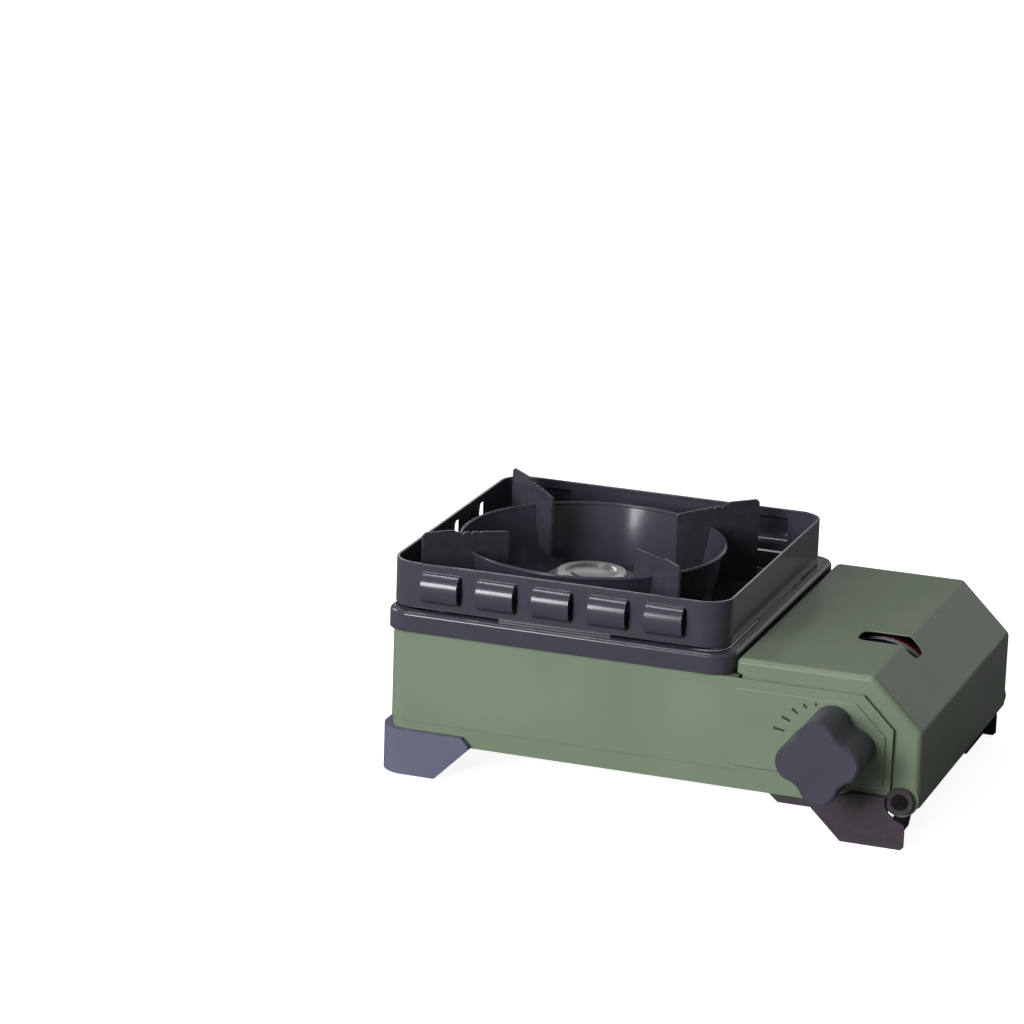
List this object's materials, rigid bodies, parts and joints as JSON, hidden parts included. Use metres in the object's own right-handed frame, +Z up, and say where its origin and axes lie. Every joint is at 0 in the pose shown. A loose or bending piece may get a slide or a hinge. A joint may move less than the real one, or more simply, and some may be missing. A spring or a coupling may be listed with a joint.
{
  "type": "butane cassette stove",
  "caption": "Portable single-burner cassette gas stove with a hinged canister cover, lobed control knob, wind shields and lift-off drip tray with pot supports.",
  "frame": {"origin": "on the table, under the middle of the stove's outline with its knob", "axes": "+X from the burner towards the canister bay, +Y from the front (knob side) to the back, +Z up"},
  "size_m": [0.286, 0.222, 0.122],
  "materials": {
    "olive_paint": "satin",
    "black_enamel": "gloss",
    "dark_leg_paint": "satin",
    "plated_steel": "satin",
    "dark_steel": "satin",
    "aluminium": "satin",
    "zinc_casting": "matte",
    "stainless": "brushed",
    "brass": "satin",
    "grey_plastic": "matte",
    "knob_plastic": "satin",
    "white_plastic": "matte",
    "ceramic": "satin",
    "black_rubber": "matte",
    "ferrite": "matte",
    "lead_sheath": "matte",
    "printed_tin": "gloss"
  },
  "bodies": {
    "casing": {"body_shell": "olive_paint", "base_plate": "plated_steel", "canister_trough": "dark_steel", "partition_wall": "dark_steel", "heat_panel": "aluminium", "front_leg_plate": "dark_leg_paint", "rear_leg_plate": "dark_leg_paint", "left_front_foot": "grey_plastic", "left_rear_foot": "grey_plastic", "casing_screws": "plated_steel", "hinge_pins": "dark_steel", "regulator_bracket": "plated_steel", "regulator_body": "zinc_casting", "regulator_screws": "plated_steel", "magnet_ring": "ferrite", "inlet_seal": "black_rubber", "inlet_probe": "brass", "shaft_bush": "white_plastic", "gas_pipe": "plated_steel", "jet_nozzle": "brass", "mixing_tube": "aluminium", "burner_head": "aluminium", "burner_ring": "stainless", "burner_cap": "stainless", "burner_bracket": "plated_steel", "burner_screws": "plated_steel", "electrode_insulator": "ceramic", "electrode_tip": "plated_steel", "igniter_body": "white_plastic", "igniter_lead": "lead_sheath"},
    "tray": {"drip_tray": "black_enamel", "wind_shield": "black_enamel", "inner_ring": "black_enamel", "pot_support_1": "black_enamel", "pot_support_2": "black_enamel", "pot_support_3": "black_enamel", "pot_support_4": "black_enamel", "support_rivets": "plated_steel"},
    "cover": {"canister_cover": "olive_paint", "cover_buffers": "black_rubber"},
    "knob": {"knob": "knob_plastic", "knob_shaft": "plated_steel", "igniter_cam": "white_plastic"},
    "plunger": {"igniter_plunger": "plated_steel"},
    "canister": {"canister_body": "printed_tin", "canister_cup": "plated_steel", "canister_stem": "white_plastic"}
  },
  "joints": [
    {"name": "cover_hinge", "type": "hinge", "parent": "casing", "child": "cover", "pos_m": [0.134, 0.0145, 0.0245], "axis": [0, 1, 0], "range_deg": [0, 100]},
    {"name": "knob_turn", "type": "hinge", "parent": "casing", "child": "knob", "pos_m": [0.099, -0.095, 0.0485], "axis": [0, -1, 0], "range_deg": [0, 115]},
    {"name": "igniter_stroke", "type": "slide", "parent": "casing", "child": "plunger", "axis": [-1, 0, 0], "range_m": [0, 0.00502]},
    {"name": "tray_lift", "type": "slide", "parent": "casing", "child": "tray", "axis": [0, 0, 1], "range_m": [0, 0.06]},
    {"name": "canister_release", "type": "slide", "parent": "casing", "child": "canister", "axis": [0, 1, 0], "range_m": [0, 0.0015]}
  ],
  "couplings": [
    {"joint": "igniter_stroke", "follows": "knob_turn", "m_per_rad": 0.0024911}
  ]
}
